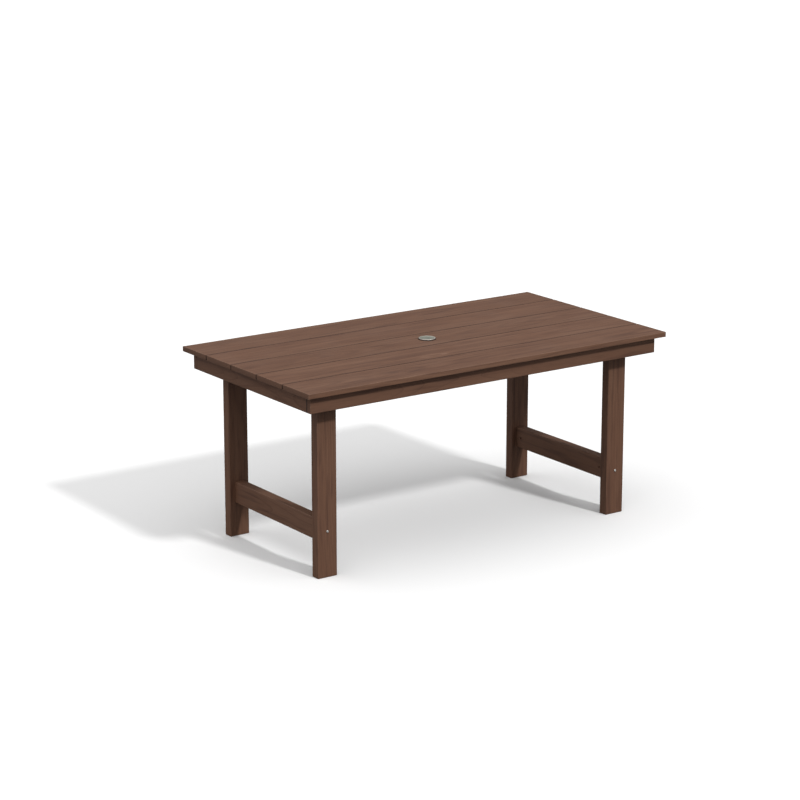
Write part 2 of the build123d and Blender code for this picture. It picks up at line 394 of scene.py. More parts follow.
def handled(g: Graph) -> Tuple[Socket, Socket, Socket]:
    """A point's place on its object, and how much dust and how many scuffs lie there.

    Args:
        g: the material's graph.

    Returns:
        The place, the dust and the scuffs.
    """
    source = g.node("TexCoord")
    here = source.outputs["Object"]
    dust = g.effect(Effects.DUST, Place=here, Facing=source.outputs["Normal"])
    scuffs = g.effect(Effects.SCUFFS, Place=here)
    return here, dust.outputs["Dust"], scuffs.outputs["Scuffs"]


# --- How a plank lies ---
class Lie(Enum):
    """How a plank lies: rows that turn table axes into its (along, across, depth)."""

    FLAT_ALONG_X = ((1, 0, 0), (0, 1, 0), (0, 0, 1))
    EDGE_ALONG_X = ((1, 0, 0), (0, 0, 1), (0, -1, 0))
    EDGE_ALONG_Y = ((0, 1, 0), (0, 0, 1), (1, 0, 0))
    UPRIGHT = ((0, 0, 1), (1, 0, 0), (0, 1, 0))

    @property
    def rows(self) -> Array:
        """The turn as a 3 by 3 array."""
        return np.array(self.value, float)


@dataclass(frozen=True)
class Plank:
    """One straight piece of lumber where its CAD node is.

    Attributes:
        node: the CAD node.
        lie: how it lies.
        seed: which stretch of the figure it shows.
        tint: its brightness against the others.
        figure_share: how strongly the painted figure shows, where no carving carries it.
        shut: how far the low side, the high side and the ends are in a joint, from 0 to 1.
    """

    node: str
    lie: Lie
    seed: int
    tint: float = 1.0
    figure_share: float = 0.34
    shut: Triple = (0.0, 0.0, 0.0)

    @property
    def centre(self) -> Array:
        """The middle of its CAD box, in table axes."""
        return np.mean(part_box(self.node), axis=0)

    @property
    def half(self) -> Array:
        """Half its length, width and thickness, in plank axes."""
        return np.abs(self.lie.rows @ np.ptp(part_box(self.node), axis=0)) / 2

    def to_table(self, points: Array) -> Array:
        """Points in plank axes, turned back and moved: the centre plus each row's share."""
        return points @ self.lie.rows + self.centre


# --- Finishes ---
@dataclass(frozen=True)
class LumberFinish:
    """Matt brown plastic lumber with an embossed wood figure.

    Attributes:
        body: main colour.
        light: colour of the lighter streaks.
        dark: colour of the darker streaks.
        groove: colour in the embossed lines.
        worn_and_highlight: colour of rubbed edges and crests, which also paints the highlight on
            the arrises.
        sawn: colour of sawn ends.
        joint_shade_and_grime: colour of painted shade in the joints between parts, with some grime.
        dust: colour of dust.
        roughness: roughness between the lines.
        ring_pitch: spacing of the figure's rings in the log.
        emboss: depth of the embossed lines.
        joint_reach: how far the painted shade and grime reach out of a joint.
        side_shade_and_grime: how thick they are along the boards' sides.
        end_shade_and_grime: how thick they are at butted ends.
        rub_and_highlight_reach: how far from an edge it is rubbed and painted lighter, as wear and
            as a painted highlight.
        corner_reach: how far from its ends an edge is rubbed more, with more painted highlight.
        carved_share: how strongly carved lines show.
        line_share: how strongly long thin lines show.
        crest_share: how strongly a loop's crest shows.
        fleck_share: how strongly fine short lines show.
        dust_share: how strongly dust shows.
    """

    body: Colour = (0.146, 0.0695, 0.0395)
    light: Colour = (0.164, 0.082, 0.0485)
    dark: Colour = (0.130, 0.060, 0.034)
    groove: Colour = (0.066, 0.027, 0.016)
    worn_and_highlight: Colour = (0.215, 0.125, 0.084)
    sawn: Colour = (0.122, 0.060, 0.037)
    joint_shade_and_grime: Colour = (0.022, 0.009, 0.006)
    dust: Colour = (0.26, 0.22, 0.19)
    roughness: float = 0.50
    ring_pitch: float = 0.0105
    emboss: float = 0.00022
    joint_reach: float = 0.0022
    side_shade_and_grime: float = 0.64
    end_shade_and_grime: float = 0.95
    rub_and_highlight_reach: float = 0.0034
    corner_reach: float = 0.004
    carved_share: float = 0.26
    line_share: float = 0.46
    crest_share: float = 0.85
    fleck_share: float = 0.42
    dust_share: float = 0.035

    def joint(self, g: Graph, here: Socket, plank: Plank) -> Socket:
        """A mask of the long sides and ends that stand in joints, from the distance to each.

        Args:
            g: the material's graph.
            here: the place in plank coordinates.
            plank: the plank, which knows its shut sides.

        Returns:
            The mask, from 0 to 1.
        """
        along, across, _ = g.split(here)
        length, width, _ = plank.half
        near, (low, high, ends) = self.joint_reach, plank.shut
        return g.sum(
            0.0, (low * self.side_shade_and_grime, g.fade(g.times(across, -1.0), width - near, width)),
            (high * self.side_shade_and_grime, g.fade(across, width - near, width)),
            (ends * self.end_shade_and_grime,
             g.fade(g.math("ABSOLUTE", along), length - 2.6 * near, length - 1.1 * near)))

    def material(self, plank: Plank) -> Material:
        """The finish laid along one plank.

        Args:
            plank: the plank, whose centre, turn and half sizes place the pattern.

        Returns:
            A material in the plank's own coordinates.
        """
        made, g, shader = new_material(f"lumber_{plank.node}")
        source = g.node("TexCoord")
        place = g.node("Mapping")
        g.put(place.inputs["Vector"], source.outputs["Object"])
        turn = plank.lie.rows
        place.inputs["Location"].default_value = tuple(-turn @ plank.centre)
        place.inputs["Rotation"].default_value = Matrix(turn.tolist()).to_euler("XYZ")
        here, half = place.outputs[0], tuple(plank.half)

        seed = float(plank.seed)
        grain = g.effect(Effects.GRAIN, Place=here, Seed=seed, Pitch=self.ring_pitch)
        arris = g.effect(Effects.ARRIS, Place=here, Half=half, Reach=self.rub_and_highlight_reach, Seed=seed)
        sawn = g.effect(Effects.SAWN, Place=here, Half=half)
        settled = g.effect(Effects.DUST, Place=source.outputs["Object"],
                           Facing=source.outputs["Normal"])
        carved = g.node("Attribute", attribute_name="groove").outputs["Fac"]

        streak, figure, line, fibre = grain.outputs
        end, cells, saw_lines = sawn.outputs
        rub_and_highlight, dust, face = arris.outputs[0], settled.outputs[0], g.rest(end)
        body, light, dark, groove, worn_and_highlight, cut = (
            tuple(part * plank.tint for part in colour)
            for colour in (self.body, self.light, self.dark, self.groove, self.worn_and_highlight, self.sawn))
        lines = g.times(face, g.sum(0.0, (plank.figure_share, figure),
                                    (self.carved_share, carved), (self.line_share, line)))
        crest = g.times(g.positive(carved, -1.0), self.crest_share)
        flecks = g.times(g.fade(fibre, 0.54, 0.68), g.times(face, self.fleck_share))
        # Joint sides and butted ends are painted dark: painted shade in the gaps, with some grime.
        joint = self.joint(g, here, plank)
        # Edges are painted lighter where rubbed, which also paints the highlight of the rounded
        # arrises, more towards the plank's ends and none in the joints.
        corner = g.fade(g.math("ABSOLUTE", g.split(here)[0]), half[0] - self.corner_reach, half[0])
        rub_and_highlight_share = g.sum(0.30, (0.28, corner), (-0.95, joint))
        colour = g.blend(g.fade(streak, 0.30, 0.50), dark, body)
        for share, laid in (
                (g.fade(streak, 0.50, 0.72), light), (lines, groove), (crest, worn_and_highlight),
                (flecks, groove), (g.times(end, g.sum(0.35, (0.45, cells))), cut),
                (g.math("MULTIPLY", rub_and_highlight, rub_and_highlight_share, clamp=True), worn_and_highlight),
                (g.times(dust, self.dust_share), self.dust), (joint, self.joint_shade_and_grime)):
            colour = g.blend(share, colour, laid)
        rough = g.sum(self.roughness - 0.05, (0.12, streak), (0.16, figure), (0.14, fibre),
                      (0.14, end), (-0.10, rub_and_highlight), (0.12, dust))
        relief = g.times(g.sum(1.0, (-0.55, figure), (-0.42, fibre)), face)
        saw = g.times(end, g.sum(0.3, (-0.5, cells), (0.10, saw_lines)))
        surfaced(g, shader, colour, rough, g.math("ADD", relief, saw), self.emboss, 0.85)
        shader.inputs["IOR"].default_value = 1.46
        return made


@dataclass(frozen=True)
class SteelFinish:
    """Plain stainless fasteners, turned and lightly handled.

    Attributes:
        steel: colour of the steel.
        stain: colour of the thin film in the lees.
        dust: colour of dust.
        roughness: roughness of the clean steel.
    """

    steel: Colour = (0.70, 0.69, 0.67)
    stain: Colour = (0.36, 0.33, 0.29)
    dust: Colour = (0.4, 0.37, 0.33)
    roughness: float = 0.27

    def material(self) -> Material:
        """The finish, which every steel fastener shares.

        Returns:
            The material.
        """
        made, g, shader = new_material("stainless_steel")
        here, dust, scuffs = handled(g)
        film = g.fade(g.noise(here, (260, 260, 260), 4.0), 0.48, 0.72)
        turned = g.noise(here, (1900, 1900, 1900), 1.0)
        colour = g.blend(g.times(film, 0.4), self.steel, self.stain)
        surfaced(g, shader, g.blend(g.times(dust, 0.10), colour, self.dust),
                 g.sum(self.roughness, (0.16, film), (0.12, scuffs), (0.15, dust)),
                 g.sum(0.5, (-0.4, scuffs), (0.2, turned)), 0.00006, 0.35)
        shader.inputs["Metallic"].default_value = 1.0
        return made


@dataclass(frozen=True)
class RingFinish:
    """Dark moulded plastic with a fine spark texture.

    Attributes:
        plastic: main colour.
        rubbed: colour where a pole or the cap rubs it.
        dust: colour of dust.
        roughness: roughness of the moulding.
    """

    plastic: Colour = (0.011, 0.008, 0.007)
    rubbed: Colour = (0.045, 0.037, 0.031)
    dust: Colour = (0.25, 0.22, 0.19)
    roughness: float = 0.54

    def material(self) -> Material:
        """The finish, in the ring's own coordinates.

        Returns:
            The material.
        """
        made, g, shader = new_material("moulded_ring")
        here, dust, scuffs = handled(g)
        spark = g.noise(here, (1500, 1500, 1500), 3.0)
        rub = g.fade(g.noise(here, (90, 90, 30), 4.0), 0.52, 0.74)
        colour = g.blend(g.sum(0.0, (0.30, rub), (0.20, scuffs)), self.plastic, self.rubbed)
        surfaced(g, shader, g.blend(g.times(dust, 0.04), colour, self.dust),
                 g.sum(self.roughness, (0.14, spark), (-0.12, rub)), spark, 0.00008, 0.5)
        shader.inputs["IOR"].default_value = 1.42
        return made


@dataclass(frozen=True)
class CapFinish:
    """Satin light metal, turned on a lathe.

    Attributes:
        metal: colour of the clean metal.
        dull: colour where its film is thicker.
        rim: colour of the raised rim, painted brighter as a highlight.
        dust: colour of dust.
        rim_from: radius where the rim begins.
        roughness: roughness across the turned lines.
        turning_pitch: distance from one turned line to the next.
    """

    metal: Colour = (0.54, 0.56, 0.49)
    dull: Colour = (0.385, 0.405, 0.335)
    rim: Colour = (0.78, 0.71, 0.65)
    dust: Colour = (0.42, 0.39, 0.35)
    rim_from: float = 0.0274
    roughness: float = 0.36
    turning_pitch: float = 0.00055

    def material(self) -> Material:
        """The finish, with turned lines round the cap's axis, which is the table's.

        Returns:
            The material.
        """
        made, g, shader = new_material("turned_cap")
        here, dust, scuffs = handled(g)
        radius = g.distance(*g.split(here)[:2])
        turned = g.math("SINE", g.times(radius, 2 * math.pi / self.turning_pitch))
        band = g.noise(g.join(radius, 0.0, 0.0), (620, 0, 0), 3.0)
        film = g.fade(g.noise(here, (55, 55, 55), 4.0), 0.40, 0.70)
        rim = g.fade(radius, self.rim_from, self.rim_from + 0.0012)
        colour = g.blend(g.sum(0.0, (0.45, film), (0.25, band)), self.metal, self.dull)
        # The rim is painted a brighter colour all round: a painted highlight.
        colour = g.blend(g.times(rim, g.sum(0.95, (-0.35, film))), colour, self.rim)
        surfaced(
            g, shader, g.blend(g.times(dust, 0.10), colour, self.dust),
            g.sum(self.roughness - 0.05, (0.10, band), (0.12, film), (0.10, scuffs), (0.2, dust)),
            g.sum(0.5, (0.20, turned), (0.35, band), (-0.25, scuffs)), 0.00006, 0.4)
        shader.inputs["Metallic"].default_value = 0.9
        return made


# --- Surfaces ---
def hashed(cells: Array, seed: int) -> Array:
    """A repeatable value from -1 to 1 for each row of three whole numbers: a mixed bit pattern.

    Args:
        cells: rows of three whole numbers.
        seed: picks the pattern.

    Returns:
        One value a row.
    """
    mixed = (cells @ np.array(HASH_PRIMES) + seed * SEED_PRIME) & HASH_BITS
    mixed = ((mixed ^ (mixed >> 13)) * MIXING_PRIME) & HASH_BITS
    mixed ^= mixed >> 16
    return (mixed & 0xFFFF) / 32767.5 - 1.0


def soft_noise(points: Array, seed: int) -> Array:
    """Value noise from -1 to 1.

    The eight corners of each point's unit cell have hashed values, and each counts by the
    product of its three smoothstep shares.

    Args:
        points: rows of three numbers, already scaled.
        seed: picks the pattern.

    Returns:
        One value a row.
    """
    cell = np.floor(points).astype(np.int64)
    part = points - cell
    part = part * part * (3 - 2 * part)
    total = np.zeros(len(points))
    for corner in range(8):
        step = np.array([corner & 1, corner >> 1 & 1, corner >> 2])
        total += np.prod(np.where(step, part, 1 - part), axis=1) * hashed(cell + step, seed)
    return total


def smooth(values: Array, low: float, high: float) -> Array:
    """Smoothstep: 0 below low, 1 above high."""
    share = np.clip((values - low) / (high - low), 0, 1)
    return share * share * (3 - 2 * share)


def runs(stops: Sequence[float], steps: Sequence[float]) -> Array:
    """Stations from the first stop to the last, each stretch divided evenly by about its step.

    Args:
        stops: where the stretches begin and end.
        steps: the spacing wanted in each.

    Returns:
        The stations, in order.
    """
    parts = [np.linspace(a, b, max(1, round(abs(b - a) / s)) + 1)[:-1]
             for a, b, s in zip(stops[:-1], stops[1:], steps)]
    return np.concatenate([*parts, stops[-1:]])


def quads(rows: Array, flip: bool = False) -> Array:
    """The quads of a grid of vertex numbers, one row of four each, turned over if asked.

    Args:
        rows: the grid's vertex numbers.
        flip: whether the faces point the other way.

    Returns:
        One row a quad.
    """
    a, b, c, d = rows[:-1, :-1], rows[1:, :-1], rows[1:, 1:], rows[:-1, 1:]
    order = (a, d, c, b) if not flip else (a, b, c, d)
    return np.stack(order, axis=-1).reshape(-1, 4)


def closed(rows: Array) -> Array:
    """A grid of vertex numbers with its first column repeated at the end."""
    return np.concatenate([rows, rows[:, :1]], axis=1)


def placed(name: str, data: bpy.types.ID) -> bpy.types.Object:
    """A new object that holds some data, put in the scene.

    Args:
        name: the object's name.
        data: its mesh, light or camera.

    Returns:
        The object, at the origin.
    """
    made = bpy.data.objects.new(name, data)
    bpy.context.scene.collection.objects.link(made)
    return made


@dataclass
class Surface:
    """Vertices and faces on their way to a mesh."""

    points: Array
    faces: List[List[int]]
    groove: Optional[Array] = None

    def piece(self, name: str, material: Material, slot: str, body: str,
              *replaced: str) -> bpy.types.Object:
        """Makes the mesh, dresses it, and puts it on its body in place of CAD nodes.

        Args:
            name: the piece's name.
            material: its finish.
            slot: a material slot's name, which is not used.
            body: the body it rides on.
            replaced: the CAD nodes it stands for.

        Returns:
            The new object, at the origin.
        """
        mesh = bpy.data.meshes.new(name)
        mesh.from_pydata(self.points.tolist(), [], self.faces)
        if self.groove is not None:
            mesh.attributes.new("groove", "FLOAT", "POINT").data.foreach_set(
                "value", self.groove.astype(np.float32))
        mesh.polygons.foreach_set("use_smooth", np.ones(len(mesh.polygons), bool))
        mesh.update()
        mesh.validate()
        mesh.materials.append(material)
        made = placed(name, mesh)
        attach(made, body)
        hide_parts(*replaced)
        log.info("%s: %d vertices, %d faces, for %s", name, len(mesh.vertices),
                 len(mesh.polygons), ", ".join(replaced))
        return made


def merged(parts: Sequence[Surface]) -> Surface:
    """Several surfaces as one, their vertex numbers following on.

    Args:
        parts: the surfaces.

    Returns:
        One surface with all their faces.
    """
    starts = np.cumsum([0] + [len(p.points) for p in parts[:-1]])
    faces = [[number + int(start) for number in face]
             for p, start in zip(parts, starts) for face in p.faces]
    return Surface(np.concatenate([p.points for p in parts]), faces)


@dataclass(frozen=True)
class Carving:
    """Relief pressed into a plank, always inwards.

    Attributes:
        ring_pitch: spacing of the figure's rings in the log.
        ring_depth: depth of a ring's line.
        fibre_depth: depth of the fine lines.
        sag_depth: depth of the broad unevenness.
        plain_end: length at each end where the relief fades out.
        eye: a loop on the upper face: (along, across, half length, half width).
    """

    ring_pitch: float = 0.0105
    ring_depth: float = 0.00016
    fibre_depth: float = 0.00008
    sag_depth: float = 0.00022
    plain_end: float = 0.012
    eye: Optional[Tuple[float, float, float, float]] = None

    WANDER, WANDER_WAVES = 0.035, (1.3, 4, 4)
    PITH, DRIFT, DRIFT_WAVES = 0.055, 0.045, (1.1, 0, 0)
    FIBRE_WAVES, SAG_WAVES = (11, 260, 260), (2.3, 9, 9)
    WOBBLE, WOBBLE_WAVES, WOBBLE_SHIFT = 0.30, (24, 110, 0), 3.7
    BREAK_WAVES, BREAK_SHIFT = (31, 90, 0), 8.1

    def at(self, place: Array, half_length: float, seed: int) -> Tuple[Array, Array]:
        """Relief at points in plank coordinates.

        The figure is a raised cosine of the distance from a wandering pith line over the ring
        pitch, cubed so that its lines are thin. Fibres are value noise drawn out along the
        plank, and the unevenness is value noise of a few waves a metre. Inside an eye are a
        bell-shaped groove at 0.45 of its oval and a broken crest at its rim, shifted by noise.

        Args:
            place: rows of (along, across, depth).
            half_length: half the plank's length.
            seed: picks the pattern.

        Returns:
            The depth inwards in metres, and the groove strength: 1 in a groove, -1 on a crest.
        """
        def noise(waves: Sequence[float], pattern: int, shift: float = 0.0) -> Array:
            """One pattern of noise, with so many waves to the metre in each direction."""
            return soft_noise(place * waves + shift, seed + pattern)

        along, across, depth = place.T
        wander = self.WANDER * noise(self.WANDER_WAVES, 0, seed)
        drift = self.PITH + self.DRIFT * noise(self.DRIFT_WAVES, 1, seed)
        ring = np.hypot(across + wander, depth + drift) / self.ring_pitch
        fading = smooth(half_length - np.abs(along), 0.0, self.plain_end)
        figure = (0.5 + 0.5 * np.cos(2 * math.pi * ring)) ** 3 * fading
        fibre = np.clip(noise(self.FIBRE_WAVES, 2), 0, 1)
        sag = 0.5 + 0.5 * noise(self.SAG_WAVES, 3)
        if self.eye:
            x, y, length, width = self.eye
            oval = np.hypot((along - x) / length, (across - y) / width)
            oval *= 1 + self.WOBBLE * noise(self.WOBBLE_WAVES, 4, self.WOBBLE_SHIFT)
            inside = (1 - smooth(oval, 1.1, 1.9)) * smooth(depth, 0.0, 0.001)
            broken = 0.55 + 0.45 * noise(self.BREAK_WAVES, 5, self.BREAK_SHIFT)
            loops = (np.exp(-((oval - 0.45) / 0.18) ** 2)
                     - broken * np.exp(-((oval - 1.0) / 0.28) ** 2))
            figure = figure * (1 - inside) + loops * inside
        inwards = self.ring_depth * np.clip(figure, 0, 1) + fading * (
            self.fibre_depth * fibre + self.sag_depth * sag)
        return inwards, figure


@dataclass(frozen=True)
class CarvedPlank(Plank):
    """A plank built again as a fine surface.

    A rounded-rectangle section, walked right round, is carried along the grain. Its last
    stations follow a quarter circle inwards, and a flat sawn end closes each side.

    Attributes:
        radius: rounding of every edge.
        across_step: spacing across the wide faces.
        along_step: spacing along the grain.
        window: half side of a square hole in the grid round a pole hole, or 0.
        hole_radius: the pole hole's radius.
        carving: the relief pressed in.
    """

    figure_share: float = 0.12
    radius: float = 0.003
    across_step: float = 0.0021
    along_step: float = 0.011
    window: float = 0.0
    hole_radius: float = 0.0
    carving: Carving = field(default_factory=Carving)

    SIDE_STEP, CORNER_DEGREES, TIP_DEGREES = 0.0025, 18.0, 16.0
    HOLE_EDGE, HAIR, FLAT_HAIR = 0.0004, 1e-9, 1e-6

    def section(self) -> Tuple[Array, Array]:
        """The section walked round, seen from the plank's far end.

        Four straight runs (top, one side, bottom, other side) are joined by four quarter arcs.

        Returns:
            Points (across, depth) and their outward normals.
        """
        _, a, b = self.half
        r, w = self.radius, self.window
        stops = [a - r, w, -w, r - a] if w else [a - r, r - a]
        top = runs(stops, [self.across_step] * 3)
        side = runs([b - r, r - b], [self.SIDE_STEP])
        turn = np.radians(np.arange(1, 5) * self.CORNER_DEGREES)
        centres = np.array([(r - a, b - r), (r - a, r - b), (a - r, r - b), (a - r, b - r)])
        pieces, normals = [], []
        for quarter, (run, centre) in enumerate(zip((top, side, top, side), centres)):
            angle = math.pi / 2 * (quarter + 1)
            out = np.array([math.cos(angle), math.sin(angle)])
            forward = np.array([-out[1], out[0]])
            arc = np.stack([np.cos(angle + turn), np.sin(angle + turn)], 1)
            pieces += [out * (a if quarter % 2 else b) - forward * run[:, None], centre + r * arc]
            normals += [np.tile(out, (len(run), 1)), arc]
        return np.concatenate(pieces), np.concatenate(normals)

    def stations(self) -> Tuple[Array, Array]:
        """Places along the grain and how far the section shrinks at each, by a quarter circle.

        Returns:
            The places, and the inset at each.
        """
        h, r, w = self.half[0], self.radius, self.window
        middle = runs([r - h, -w, w, h - r] if w else [r - h, h - r],
                      [self.along_step, self.across_step * 2, self.along_step])
        angle = np.radians(np.arange(1, 6) * self.TIP_DEGREES)
        tip = h - r + r * np.sin(angle) / math.sin(angle[-1])
        inset = r * (1 - np.cos(angle))
        return (np.concatenate([-tip[::-1], middle, tip]),
                np.concatenate([inset[::-1], np.zeros(len(middle)), inset]))

    def surface(self) -> Surface:
        """The whole plank, with its pole hole if it has one.

        Returns:
            The carved surface, in table axes.
        """
        ring, normal = self.section()
        along, inset = self.stations()
        shape = (len(along), len(ring))
        flat = ring[None] - normal[None] * inset[:, None, None]
        place = np.dstack([np.broadcast_to(along[:, None], shape), flat]).reshape(-1, 3)
        outwards = np.dstack([np.zeros(shape), np.broadcast_to(normal, (*shape, 2))])
        outwards = outwards.reshape(-1, 3)
        number = np.arange(len(place)).reshape(shape)
        faces = quads(closed(number))
        if self.window:
            place, outwards, faces = self.bored(place, outwards, faces, number, ring, along)
        depth, groove = self.carving.at(place, self.half[0], self.seed)
        place = place - outwards * depth[:, None]
        ends = [number[-1].tolist(), number[0, ::-1].tolist()]
        return Surface(self.to_table(place), faces.tolist() + ends, groove)

    def bored(self, place: Array, outwards: Array, faces: Array, number: Array, ring: Array,
              along: Array) -> Tuple[Array, Array, Array]:
        """Cuts the square window out of the top and bottom and joins it to a round hole.

        The window's edge points move to the circle along straight lines, each at its own angle,
        in even shares. The circle then goes straight down through the plank.

        Args:
            place: the plank's points.
            outwards: their normals.
            faces: its quads.
            number: the points' numbers, one row a station.
            ring: the section.
            along: the stations.

        Returns:
            The longer points, normals and faces.
        """
        w, b, edge = self.window + self.HAIR, self.half[2], self.HOLE_EDGE
        near = np.abs(place[:, 1].reshape(number.shape)[len(along) // 2]) <= w
        top = np.flatnonzero(near & (ring[:, 1] > b - self.HAIR))
        low = np.flatnonzero(near & (ring[:, 1] < self.HAIR - b))[::-1]
        first, last = np.flatnonzero(np.abs(along) <= w)[[0, -1]]
        inside = np.abs(place[faces].mean(1)[:, :2]).max(1) < self.window
        level = np.abs(place[faces][:, :, 2]).min(1) > b - self.FLAT_HAIR
        walks = [np.concatenate([number[first:last, row[0]], number[last, row[:-1]],
                                 number[last:first:-1, row[-1]], number[first, row[:0:-1]]])
                 for row in (top, low)]
        start = place[walks[0]]
        count = len(start)
        angle = np.arctan2(start[:, 1], start[:, 0])
        circle = np.stack([np.cos(angle), np.sin(angle)], 1)
        levels = [(start[:, :2] * (1 - share) + circle * (self.hole_radius + edge) * share, b)
                  for share in np.linspace(0, 1, 7)[1:]]
        wall = [(circle * self.hole_radius, height) for height in (b - edge, edge - b)]
        stack = [*levels, *wall, *((flat, -height) for flat, height in reversed(levels))]
        fresh = np.concatenate([np.column_stack([flat, np.full(count, height)])
                                for flat, height in stack])
        facing = np.sign(fresh) * (0, 0, 1)
        facing[len(levels) * count:(len(levels) + 2) * count] = 0
        added = len(place) + np.arange(len(fresh)).reshape(len(stack), count)
        grid = closed(np.concatenate([walks[0][None], added, walks[1][None]]))
        return (np.concatenate([place, fresh]), np.concatenate([outwards, facing]),
                np.concatenate([faces[~(inside & level)], quads(grid, flip=True)]))


def softened(corners: Sequence[Triple], loop: bool, steps: int = 5) -> Array:
    """A profile whose corners are rounded.

    Each corner gives way to the quadratic curve that starts and ends its rounding's length away
    along its two sides and is drawn towards the corner.

    Args:
        corners: (radius, height, rounding) in millimetres, one a corner.
        loop: whether the last corner joins the first.
        steps: points on each curve.

    Returns:
        Rows of (radius, height) in metres.
    """
    given = np.array(corners, float)
    points, bend = given[:, :2], given[:, 2]
    share = np.linspace(0, 1, steps)[:, None]
    made = []
    for i, corner in enumerate(points):
        if bend[i] == 0 or (not loop and i in (0, len(points) - 1)):
            made.append(corner[None])
            continue
        towards = [points[i - 1] - corner, points[(i + 1) % len(points)] - corner]
        start, end = (corner + t / np.linalg.norm(t) * bend[i] for t in towards)
        made.append((1 - share) ** 2 * start + 2 * share * (1 - share) * corner + share ** 2 * end)
    return np.concatenate(made) * MM


def lathed(profile: Array, sides: int, loop: bool, flats: Optional[Array] = None,
           across_flats: float = 0.0) -> Surface:
    """A profile carried round the Z axis.

    Every point is (radius times cosine, radius times sine, height). A row marked as flat takes
    a hexagon's radius instead: half the flats' distance over the cosine of the angle from the
    nearest flat's middle.

    Args:
        profile: rows of (radius, height), going outwards over the top and back underneath.
        sides: points in a turn.
        loop: whether the profile closes on itself, as a ring's does.
        flats: marks the rows that are hexagonal.
        across_flats: the hexagon's size.

    Returns:
        The closed surface.
    """
    angle = np.arange(sides) * 2 * math.pi / sides
    radius = np.repeat(profile[:, :1], sides, axis=1)
    if flats is not None:
        wedge = (angle % (math.pi / 3)) - math.pi / 6
        radius[flats] = across_flats / 2 / np.cos(wedge)
    points = np.stack([radius * np.cos(angle), radius * np.sin(angle),
                       np.repeat(profile[:, 1:], sides, axis=1)], 2)
    number = np.arange(points.shape[0] * sides).reshape(-1, sides)
    rows = np.concatenate([number, number[:1]]) if loop else number
    faces = quads(closed(rows), flip=True).tolist()
    if not loop:
        faces += [number[0].tolist(), number[-1, ::-1].tolist()]
    return Surface(points.reshape(-1, 3), faces)


# --- Sub-assemblies ---
def dress(node: str, material: Material) -> None:
    """Gives a CAD node that stays a new finish.

    Args:
        node: the CAD node.
        material: its finish.
    """
    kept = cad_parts[node]
    if not kept.material_slots:
        kept.data.materials.append(material)
    for slot in kept.material_slots:
        slot.material = material
    log.info("%s: CAD mesh dressed with %s", node, material.name)


@dataclass(frozen=True)
class TableTop:
    """The five top boards; the middle one has the pole hole."""

    finish: LumberFinish
    count: int = 5
    tints: Tuple[float, ...] = (1.0, 1.02, 0.98, 1.01, 0.985)
    window: float = 0.0392
    hole_radius: float = 0.0288
    arris_radius: float = 0.0016
    eye: Tuple[float, float, float, float] = (-0.130, -0.049, 0.046, 0.013)
    eye_board: int = 1

    def build(self) -> None:
        """Builds each board in place of its CAD node."""
        for index in range(self.count):
            middle = index == self.count // 2
            shut = (float(index > 0), float(index < self.count - 1), 0.0)
            plank = CarvedPlank(
                f"board_{index + 1}", Lie.FLAT_ALONG_X, 11 + 7 * index, self.tints[index],
                shut=shut, radius=self.arris_radius, window=self.window if middle else 0.0,
                hole_radius=self.hole_radius,
                carving=Carving(eye=self.eye if index == self.eye_board else None))
            plank.surface().piece(f"top_{plank.node}", self.finish.material(plank), "lumber",
                                  TABLE, plank.node)


@dataclass(frozen=True)
class Frame:
    """The aprons and the cross rails under the boards."""

    finish: LumberFinish
    long_aprons: Names = ("apron_front", "apron_back")
    cross_pieces: Names = (
        "apron_left", "apron_right", "rail_left_outer", "rail_left_inner", "rail_middle_left",
        "rail_middle_right", "rail_right_inner", "rail_right_outer")

    def build(self) -> None:
        """Dresses every apron and rail."""
        for lie, nodes in ((Lie.EDGE_ALONG_X, self.long_aprons),
                           (Lie.EDGE_ALONG_Y, self.cross_pieces)):
            for index, node in enumerate(nodes):
                plank = Plank(node, lie, 61 + 5 * index, 0.98 + 0.01 * (index % 4),
                              shut=(0.0, 0.0, 0.0 if lie is Lie.EDGE_ALONG_X else 1.0))
                dress(node, self.finish.material(plank))


@dataclass(frozen=True)
class LegSet:
    """The four plank legs and the two end stretchers."""

    finish: LumberFinish
    legs: Names = (
        "leg_front_left", "leg_front_right", "leg_back_left", "leg_back_right")
    stretchers: Names = ("stretcher_left", "stretcher_right")

    def build(self) -> None:
        """Builds the legs again and dresses the stretchers."""
        for index, node in enumerate(self.legs):
            plank = CarvedPlank(node, Lie.UPRIGHT, 103 + 9 * index, 0.99 + 0.01 * (index % 3),
                                along_step=0.009, across_step=0.002)
            plank.surface().piece(f"{node}_plank", self.finish.material(plank), "lumber", TABLE,
                                  node)
        for index, node in enumerate(self.stretchers):
            dress(node, self.finish.material(Plank(node, Lie.EDGE_ALONG_Y, 151 + 13 * index)))


